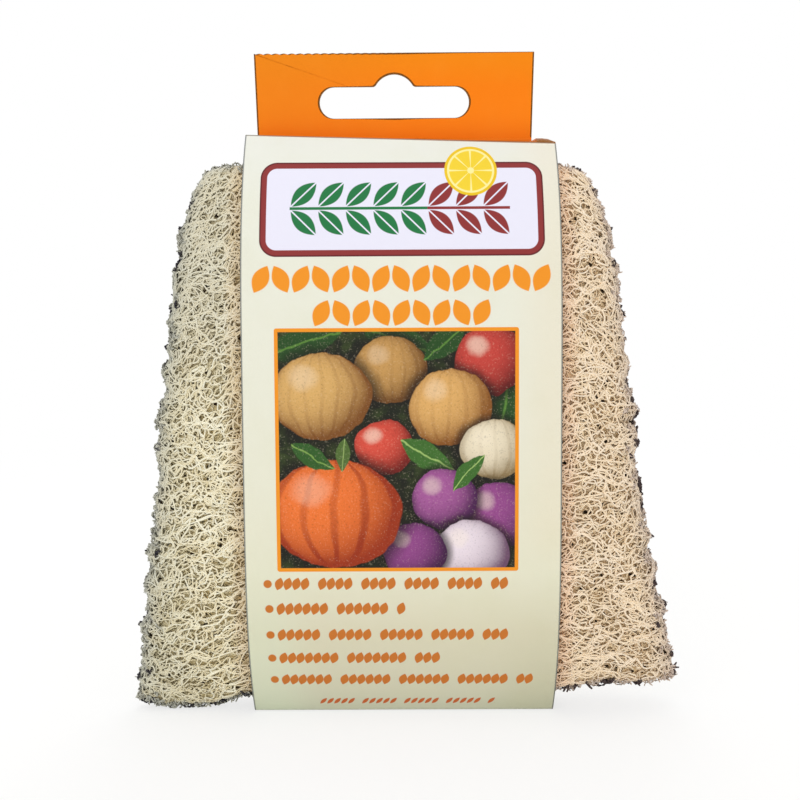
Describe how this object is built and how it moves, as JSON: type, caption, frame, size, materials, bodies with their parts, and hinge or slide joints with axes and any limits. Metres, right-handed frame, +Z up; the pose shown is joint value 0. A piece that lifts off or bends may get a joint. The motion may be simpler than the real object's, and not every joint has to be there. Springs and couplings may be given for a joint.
{
  "type": "loofah scrub pad in card band",
  "caption": "Pressed loofah scrub pad held in a bulging card band, with a leaning hang tab cut with a standard hanging slot.",
  "frame": {"origin": "top of the hanging slot's middle bump, between the tab's two plies, where a shop hook carries the pack", "axes": "+Z up along the hanging pack, -Y towards the printed front, +X to the right as the front is looked at"},
  "size_m": [0.1184, 0.0258, 0.1413],
  "materials": {
    "printed_card": "smooth coated card, cream print",
    "plain_card": "smooth coated card, plain",
    "orange_card": "smooth coated card, orange print",
    "glue": "clear dried glue",
    "loofah_fibre": "dry matted plant fibre",
    "loofah_core": "dry loose plant fibre"
  },
  "bodies": {
    "hang_tab": {"tab_front_ply": "orange_card", "tab_back_ply": "orange_card", "tab_glue_strip": "glue"},
    "card_band": {"front_panel": "printed_card", "bottom_panel": "printed_card", "back_panel": "plain_card", "top_panel": "orange_card"},
    "loofah_pad": {"loofah_front_wall": "loofah_fibre", "loofah_back_wall": "loofah_fibre", "core_web_left": "loofah_core", "core_web_middle": "loofah_core", "core_web_right": "loofah_core"}
  },
  "joints": [
    {"name": "tab_crease", "type": "hinge", "parent": "hang_tab", "child": "card_band", "pos_m": [0, 0.00278, -0.01306], "axis": [1, 0, 0], "range_deg": [-70, 90]},
    {"name": "pad_slide", "type": "slide", "parent": "card_band", "child": "loofah_pad", "axis": [1, 0, 0], "range_m": [-0.093, 0.093]}
  ]
}
